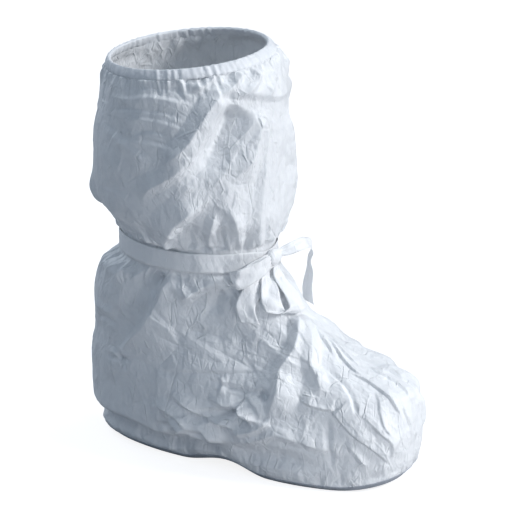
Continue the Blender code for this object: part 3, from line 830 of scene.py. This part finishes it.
# Collar hem
# The upper's edge folded over thin elastic and sewn down, which draws it into fine uneven gathers.
# The roll stands a little proud of the leg on both sides.
HEM_HALF = 2.0 * MM
HEM_RISE = 0.4 * MM
GATHER_DEPTH, GATHER_WIDENS = 0.9 * MM, 0.08
GATHER_WAVES = (47, 61, 83)  # round the collar
UNEVEN_SHIFT, UNEVEN_WAVES = 1.5, 5  # radians, and how often round the collar the gathers crowd
ANY_PHASE = 6.3  # radians, a whole wave
HEM_SQUARE = 0.6  # below 1 its sides are flatter than an ellipse's
HEM_COLUMNS, HEM_SIDES = 420, 14
hem_turns = even_turns([TOP_LEVEL], HEM_COLUMNS)
hem_gathers = np.zeros(HEM_COLUMNS)
for waves in GATHER_WAVES:
    phase = chance.uniform(0, ANY_PHASE) + UNEVEN_SHIFT * np.sin(UNEVEN_WAVES * hem_turns[0] + waves)
    hem_gathers += np.cos(waves * hem_turns[0] + phase) / len(GATHER_WAVES)
sides = np.linspace(0, 2 * np.pi, HEM_SIDES, endpoint=False)[:, None]
hem_level = TOP_LEVEL - HEM_LEVELS / 2 + HEM_LEVELS / 2 * np.sin(sides) * (1 + GATHER_WIDENS * hem_gathers)
bulge = np.sign(np.cos(sides)) * np.abs(np.cos(sides)) ** HEM_SQUARE
hem_off = HEM_HALF * bulge + GATHER_DEPTH * hem_gathers * np.cos(sides)
over_edge = np.maximum(hem_level - TOP_LEVEL, 0)
hem_level = np.minimum(hem_level, TOP_LEVEL)
hem_points = upper_face(hem_level, hem_turns) + upper_normal(hem_level, hem_turns) * hem_off[..., None]
hem_points[..., 2] += HEM_RISE * np.maximum(np.sin(sides), 0) + over_edge * MM
first_row = np.arange(HEM_COLUMNS)
next_column = np.roll(first_row, -1)
last_row = (HEM_SIDES - 1) * HEM_COLUMNS
closing_faces = np.stack([last_row + first_row, last_row + next_column, next_column, first_row], -1)
hem_faces = [*ring_faces(HEM_SIDES, HEM_COLUMNS), *closing_faces]
hem_fabric = fabric(
    "hem_fabric",
    thin=(0.82, 0.84, 0.87), thick=(0.89, 0.90, 0.92),
    roughness=0.65, sheen=0.1, facet=0.2, crease=0.2, cut=(0.4, 0.1, 0.3),
)
hem = piece_of("collar_hem_roll", hem_points, hem_faces, hem_fabric)
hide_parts("collar_hem")

# Tie band
# One flat strip of denser nonwoven, drawn tight round the ankle and creased along its length.
# It narrows where it runs into the knot.
TIE_WIDTH, NECK_SPAN = 20 * MM, NECK_HIGH - NECK_LOW
RIBBON_THICKNESS = 0.5 * MM
BAND_GAP = 0.5 * MM
KNOT_TURN = math.radians(-4)
DRAWN_SPAN, DRAWN_NARROWER = math.radians(30), 0.4  # either side of the knot, and the share of the width
WANDER_WAVES, LEVEL_WANDER, CREASE_WANDER = (3, 7, 13), 0.03, 0.12
LONG_CREASES, FIRST_CREASE = 2.6, 0.3  # across the width, and where the first starts
LONG_CREASE_RISE, DRAWN_CREASE_RISE, WANDER_RISE = 0.25 * MM, 0.9 * MM, 0.2 * MM
BAND_COLUMNS, BAND_ROWS = 300, 9
band_turns = np.arange(BAND_COLUMNS) / BAND_COLUMNS * 2 * np.pi
across = np.linspace(-0.5, 0.5, BAND_ROWS)[:, None]
from_knot = np.abs((band_turns - KNOT_TURN + np.pi) % (2 * np.pi) - np.pi)
drawn = 1 - smooth(from_knot / DRAWN_SPAN)
wander = sum(np.sin(k * band_turns + chance.uniform(0, ANY_PHASE)) for k in WANDER_WAVES) / len(WANDER_WAVES)
band_width = TIE_WIDTH * (1 - DRAWN_NARROWER * drawn)
band_level = NECK_LEVEL + across * band_width / NECK_SPAN + LEVEL_WANDER * wander
long_crease = np.abs(((across + CREASE_WANDER * wander) * LONG_CREASES + FIRST_CREASE) % 1 - 0.5) * 2
crease_rise = LONG_CREASE_RISE + DRAWN_CREASE_RISE * drawn
band_off = BAND_GAP + crease_rise * long_crease + WANDER_RISE * (1 + wander)
band_points = upper_face(band_level, band_turns) + upper_normal(band_level, band_turns) * band_off[..., None]
tie_ribbon = fabric(
    "tie_ribbon",
    thin=(0.92, 0.93, 0.945), thick=(0.96, 0.965, 0.97),
    roughness=0.55, sheen=0.08, facet=0.16, crease=0.3, cut=(0.7, 0.3, 0.2),
)
band = piece_of("tie_band_strip", band_points, ring_faces(BAND_ROWS, BAND_COLUMNS), tie_ribbon)
thickened(band, RIBBON_THICKNESS, 1)
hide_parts("tie_band")

# Tie knot
# The strip passed once over itself and pulled tight, so that creases run over its front from top to bottom.
# It sits on the band at the front of the ankle, and the loops and ends of the bow come out of it.
KNOT_WIDTH, KNOT_DEPTH, KNOT_TALL = 18 * MM, 12 * MM, 17 * MM
KNOT_SEAT = 1.2 * MM
KNOT_RINGS, KNOT_SIDES = 33, 40
KNOT_CREASES, CREASE_DEPTH = 3.5, 0.09
CREASE_SLANT, CREASE_BEND = 0.18, 0.08
BLUNT_ENDS, ROUND_ENDS, LEAST_GIRTH = 3, 0.45, 0.02  # two powers, and a share of the girth
knot_normal = upper_normal(NECK_LEVEL, KNOT_TURN)
knot_side = np.cross((0, 0, 1), knot_normal)
knot_side /= np.linalg.norm(knot_side)
knot_up = np.cross(knot_normal, knot_side)
knot_middle = upper_face(NECK_LEVEL, KNOT_TURN) + knot_normal * (KNOT_SEAT + KNOT_DEPTH / 2)
ring_place = np.sin(np.linspace(-0.5, 0.5, KNOT_RINGS) * np.pi)[:, None]
ring_angle = np.linspace(0, 2 * np.pi, KNOT_SIDES, endpoint=False)
slanting = ring_place + CREASE_SLANT * np.sin(ring_angle) + CREASE_BEND * np.sin(2 * ring_angle + 1)
girth = (1 - np.abs(ring_place) ** BLUNT_ENDS) ** ROUND_ENDS
girth = girth * (1 - CREASE_DEPTH * np.cos(np.pi * KNOT_CREASES * slanting) ** 2) + LEAST_GIRTH
knot_points = (
    knot_middle
    + knot_side * (ring_place * KNOT_WIDTH / 2 + 0 * ring_angle)[..., None]
    + knot_normal * (girth * np.cos(ring_angle) * KNOT_DEPTH / 2)[..., None]
    + knot_up * (girth * np.sin(ring_angle) * KNOT_TALL / 2)[..., None]
)
near_cap = np.arange(KNOT_SIDES)
far_cap = near_cap + (KNOT_RINGS - 1) * KNOT_SIDES
knot_faces = [*ring_faces(KNOT_RINGS, KNOT_SIDES), near_cap[::-1], far_cap]
knot = piece_of("tie_knot_wrap", knot_points, knot_faces, tie_ribbon)
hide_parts("tie_knot")

# Bow
# The strip's two free lengths. Each goes out of the knot, round a loop, back through it and on to a cut end.
# They are limp and flat, with pleats where the knot gathers them, a soft curl and a few sharp slanting folds.
KNOT_HEIGHT = upper_face(NECK_LEVEL, KNOT_TURN)[2]


class Lie(NamedTuple):
    """One row of a strand: where its middle lies over the upper. Degrees and millimetres."""

    turn: float
    drop: float  # below the middle of the knot
    standoff: float  # level distance out from the upper's face
    width: float
    slant: float  # of its cross line, from level towards upright


SIDE_LOOP = (
    Lie(-11.5, 0, 11, 11, 95),
    Lie(-19, 3, 14, 16, 103),
    Lie(-29, 8, 15, 20, 108),
    Lie(-39, 13, 14, 20, 112),
    Lie(-43, 15, 11.5, 20, 112),
    Lie(-39, 16, 9, 20, 112),
    Lie(-29, 11, 8, 19, 108),
    Lie(-19, 5, 7, 15, 103),
    Lie(-11.7, 1, 6.5, 11, 95),
)
FRONT_LOOP = (
    Lie(-4, 9.5, 10, 11, 0),
    Lie(-6, 20, 12, 16, -6),
    Lie(-8, 33, 13, 20, -10),
    Lie(-10, 44, 13, 20, -10),
    Lie(-18, 48, 10, 20, -5),
    Lie(-28, 47, 8, 20, 0),
    Lie(-26, 35, 8, 20, 0),
    Lie(-18, 22, 7, 16, 0),
    Lie(-8, 9.5, 6, 11, 0),
)
THROUGH_KNOT = (Lie(-4, 3, 6, 9, 40),)
SIDE_END = (
    Lie(-14, 12, 3.6, 11, -30),
    Lie(-25, 20, 5, 16, -35),
    Lie(-38, 31, 6, 20, -25),
    Lie(-47, 44, 6.2, 20, -10),
    Lie(-50, 59, 6, 20, -5),
)
INNER_END = (
    Lie(4.5, -1, 8, 10, 70),
    Lie(9, -4, 16, 14, 55),
    Lie(16, -6, 25, 18, 35),
    Lie(23, -2, 32, 20, 10),
    Lie(27, 6, 35, 20, 0),
    Lie(30, 22, 29, 20, 0),
    Lie(33, 40, 19, 20, 0),
    Lie(36, 60, 8, 20, 0),
)
STRAND_STEPS, STRAND_COLUMNS = 8, 11
PLEATS, PLEAT_DEPTH = 3, 1.2 * MM
CURL, CURL_POWER, CURL_OFF_MIDDLE = 1.6 * MM, 1.5, 0.1
CURL_CHANGE, CURL_START = 1.3, 0.5  # radians to a row, and at the first
CRUMPLE = 1.1 * MM
SLANTING_FOLDS = ((0.8, 0.9, 0), (0.55, -1.1, 0.4))  # folds to a row and to the width, and where they start


def zigzag(place):
    """A wave with sharp edges, from -0.5 to 0.5, that repeats at every whole number."""
    return np.abs(place % 1 - 0.5) * 2 - 0.5


def strand(name, table):
    """A limp flat ribbon along a table, and the points of its middle line."""
    places = np.linspace(0, len(table) - 1, STRAND_STEPS * (len(table) - 1) + 1)
    turn, drop, standoff, width, slant = through(np.array(table, float), places).T
    turn, slant = np.radians(turn), np.radians(slant)
    level = level_at(KNOT_HEIGHT - drop * MM, turn)
    normal = upper_normal(level, turn)
    level_line = np.cross((0, 0, 1), normal)
    level_line /= np.linalg.norm(level_line, axis=1, keepdims=True)
    out = np.cross(level_line, (0, 0, 1))
    upright = np.cross(normal, level_line)
    cross_line = level_line * np.cos(slant)[:, None] + upright * np.sin(slant)[:, None]
    middle = upper_face(level, turn) + out * standoff[:, None] * MM
    facing = np.cross(np.gradient(middle, axis=0), cross_line)
    facing /= np.linalg.norm(facing, axis=1, keepdims=True)
    share = np.linspace(-0.5, 0.5, STRAND_COLUMNS)
    gathered = 1 - (width * MM / TIE_WIDTH)[:, None] ** 2
    pleat = PLEAT_DEPTH * gathered * np.cos(2 * np.pi * PLEATS * share)
    bowl = (np.abs(share + CURL_OFF_MIDDLE) * 2) ** CURL_POWER
    curl = CURL * (1 - gathered) * bowl * np.cos(places * CURL_CHANGE + CURL_START)[:, None]
    folds = sum(zigzag(a * places[:, None] + b * share + start) for a, b, start in SLANTING_FOLDS)
    crumple = CRUMPLE * (1 - gathered) * folds
    flat = middle[:, None] + cross_line[:, None] * (width[:, None] * MM * share)[..., None]
    points = flat + facing[:, None] * (pleat + curl + crumple)[..., None]
    index = np.arange(points.shape[0] * STRAND_COLUMNS).reshape(-1, STRAND_COLUMNS)
    faces = np.stack([index[:-1, :-1], index[:-1, 1:], index[1:, 1:], index[1:, :-1]], -1).reshape(-1, 4)
    return thickened(piece_of(name, points, faces, tie_ribbon), RIBBON_THICKNESS, 0), middle


side_strand, side_path = strand("bow_side_strand", SIDE_LOOP + THROUGH_KNOT + SIDE_END)
inner_strand, inner_path = strand("bow_inner_strand", FRONT_LOOP + THROUGH_KNOT + INNER_END)
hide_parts("bow_loop_side", "bow_end_side")
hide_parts("bow_loop_front", "bow_end_inner")

# Stage
# A plain pale floor and the camera at the photograph's angle. A soft window lights it from the toe's side,
# with a low card by the toe, a lamp above it, a weak fill from the room and one light behind.
AZIMUTH, ELEVATION = math.radians(30), math.radians(21)
DISTANCE = 3.6  # metres
FILL = 0.88  # of the frame's height
SENSOR = 36  # millimetres
right = Vector((math.cos(AZIMUTH), math.sin(AZIMUTH), 0))
level_toward = Vector((math.sin(AZIMUTH), -math.cos(AZIMUTH), 0))
toward = level_toward * math.cos(ELEVATION) + Vector((0, 0, math.sin(ELEVATION)))
up = toward.cross(right)
seen_points = np.concatenate([zone.points.reshape(-1, 3) for zone in zones]) @ np.array([right, up]).T
low_corner, high_corner = seen_points.min(0), seen_points.max(0)
seen_middle = (low_corner + high_corner) / 2
aim = right * seen_middle[0] + up * seen_middle[1]
camera = bpy.data.objects.new("camera", bpy.data.cameras.new("camera"))
camera.location = aim + toward * DISTANCE
camera.rotation_mode = "QUATERNION"
camera.rotation_quaternion = (-toward).to_track_quat("-Z", "Y")
camera.data.sensor_width = SENSOR
camera.data.lens = SENSOR * FILL * DISTANCE / (high_corner[1] - low_corner[1])
bpy.context.scene.collection.objects.link(camera)
bpy.context.scene.camera = camera


def area_light(name, place, size, power, colour):
    """A square soft light that shines at the cover, from a place in metres and with a power in watts."""
    lamp = bpy.data.lights.new(name, "AREA")
    lamp.size = size
    lamp.energy = power
    lamp.color = colour
    light = bpy.data.objects.new(name, lamp)
    light.location = aim + place
    light.rotation_mode = "QUATERNION"
    light.rotation_quaternion = (-place).to_track_quat("-Z", "Y")
    light.visible_camera = False
    bpy.context.scene.collection.objects.link(light)


area_light("window", right * 1.8 + up * 0.85 + toward * 1.05, size=0.6, power=31, colour=(0.98, 0.985, 1))
area_light("card", right * 0.3 + up * -0.33 + toward * 0.45, size=0.2, power=0.72, colour=(0.98, 0.985, 1))
area_light("above", right * 0.3 + up * 1.9 + toward * 0.6, size=0.6, power=8, colour=(0.94, 0.97, 1))
area_light("room", right * -0.5 + up * 0.8 + toward * 1.6, size=0.8, power=2.2, colour=(0.78, 0.89, 1))
area_light("behind", right * -1.5 + up * 1.3 + toward * -1.3, size=1.2, power=12, colour=(0.85, 0.92, 1))

ROOM_COLOUR, ROOM_STRENGTH = (0.66, 0.81, 1, 1), 0.27
world = bpy.data.worlds.new("room")
world.use_nodes = True
room_light = world.node_tree.nodes["Background"]
room_light.inputs["Color"].default_value = ROOM_COLOUR
room_light.inputs["Strength"].default_value = ROOM_STRENGTH
bpy.context.scene.world = world
bpy.context.scene.view_settings.view_transform = "Standard"

FLOOR_GLOW = 0.85  # seen by the camera alone, as on a lit white sweep
FLOOR_HALF = 60  # metres
FLOOR_COLOUR, FLOOR_ROUGHNESS = (0.42, 0.43, 0.45, 1), 0.9
floor_corners = [(x * FLOOR_HALF, y * FLOOR_HALF, 0) for x, y in ((-1, -1), (1, -1), (1, 1), (-1, 1))]
floor_mesh = bpy.data.meshes.new("floor")
floor_mesh.from_pydata(floor_corners, [], [(0, 1, 2, 3)])
floor = bpy.data.objects.new("floor", floor_mesh)
floor_finish = bpy.data.materials.new("floor")
floor_finish.use_nodes = True
floor_tree = floor_finish.node_tree
floor_shader = floor_tree.nodes["Principled BSDF"]
floor_shader.inputs["Base Color"].default_value = FLOOR_COLOUR
floor_shader.inputs["Roughness"].default_value = FLOOR_ROUGHNESS
seen = add_node(floor_tree, "ShaderNodeLightPath").outputs["Is Camera Ray"]
floor_tree.links.new(seen, floor_shader.inputs["Emission Color"])
floor_shader.inputs["Emission Strength"].default_value = FLOOR_GLOW
floor_mesh.materials.append(floor_finish)
bpy.context.scene.collection.objects.link(floor)
